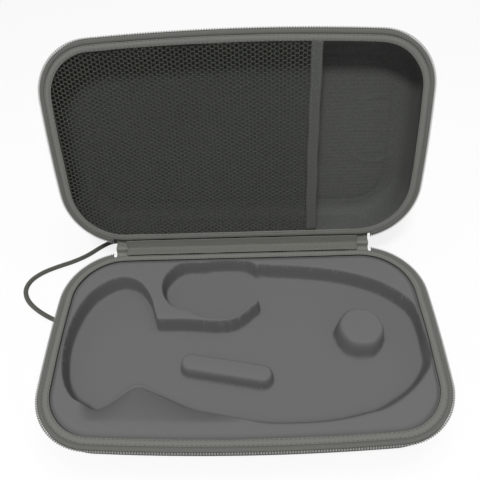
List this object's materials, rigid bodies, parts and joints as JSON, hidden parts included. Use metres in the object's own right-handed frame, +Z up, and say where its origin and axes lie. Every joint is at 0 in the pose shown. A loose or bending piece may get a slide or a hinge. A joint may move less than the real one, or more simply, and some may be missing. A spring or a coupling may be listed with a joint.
{
  "type": "hard carrying case",
  "caption": "Zip-up moulded hard case standing open, with a shaped tray for a stethoscope, a net pocket in the lid and a wrist strap.",
  "frame": {"origin": "centre of the base's flat bottom face", "axes": "+X to the right along the case, +Y towards the hinge at the back, +Z up out of the base"},
  "size_m": [0.3323, 0.2489, 0.1966],
  "materials": {
    "shell_cloth": "woven polyester laminated to moulded foam",
    "tray_cloth": "brushed knit laminated to moulded foam",
    "binding_tape": "ribbed tape with stitching",
    "zip_tape": "woven herringbone tape",
    "zip_coil": "moulded nylon coil",
    "pocket_net": "open hexagonal net",
    "hinge_cloth": "woven tape",
    "slider_metal": "black lacquered die casting",
    "strap_cord": "flat braided cord"
  },
  "bodies": {
    "base": {"base_shell": "shell_cloth", "inner_tray": "tray_cloth", "base_binding": "binding_tape", "base_zip_tape": "zip_tape", "base_zip_coil": "zip_coil", "hinge_strip": "hinge_cloth", "hinge_cover": "hinge_cloth", "zip_end_tape_left": "zip_tape", "zip_end_tape_right": "zip_tape", "zip_end_coil_left": "zip_coil", "zip_end_coil_right": "zip_coil", "strap_tab": "hinge_cloth", "wrist_strap": "strap_cord"},
    "lid": {"lid_shell": "shell_cloth", "lid_binding": "binding_tape", "lid_zip_tape": "zip_tape", "lid_zip_coil": "zip_coil", "mesh_pocket": "pocket_net", "pocket_edge_tape": "binding_tape"},
    "left_slider": {"slider_left": "slider_metal"},
    "right_slider": {"slider_right": "slider_metal"},
    "left_pull": {"pull_left": "slider_metal"},
    "right_pull": {"pull_right": "slider_metal"}
  },
  "joints": [
    {"name": "lid_hinge", "type": "hinge", "parent": "base", "child": "lid", "pos_m": [0, 0.087, 0.034], "axis": [-1, 0, 0], "range_deg": [-108, 57], "deforming": ["hinge_strip", "hinge_cover"]},
    {"name": "left_slider_travel", "type": "slide", "parent": "base", "child": "left_slider", "axis": [-1, 0, 0], "range_m": [0, 0.014]},
    {"name": "right_slider_travel", "type": "slide", "parent": "base", "child": "right_slider", "axis": [1, 0, 0], "range_m": [0, 0.014]},
    {"name": "left_pull_swing", "type": "hinge", "parent": "left_slider", "child": "left_pull", "pos_m": [-0.07025, 0.08524, 0.01955], "axis": [0, 0.0676, 0.9977], "range_deg": [0, 175]},
    {"name": "right_pull_swing", "type": "hinge", "parent": "right_slider", "child": "right_pull", "pos_m": [0.07025, 0.08524, 0.01955], "axis": [0, -0.0676, -0.9977], "range_deg": [0, 175]}
  ]
}
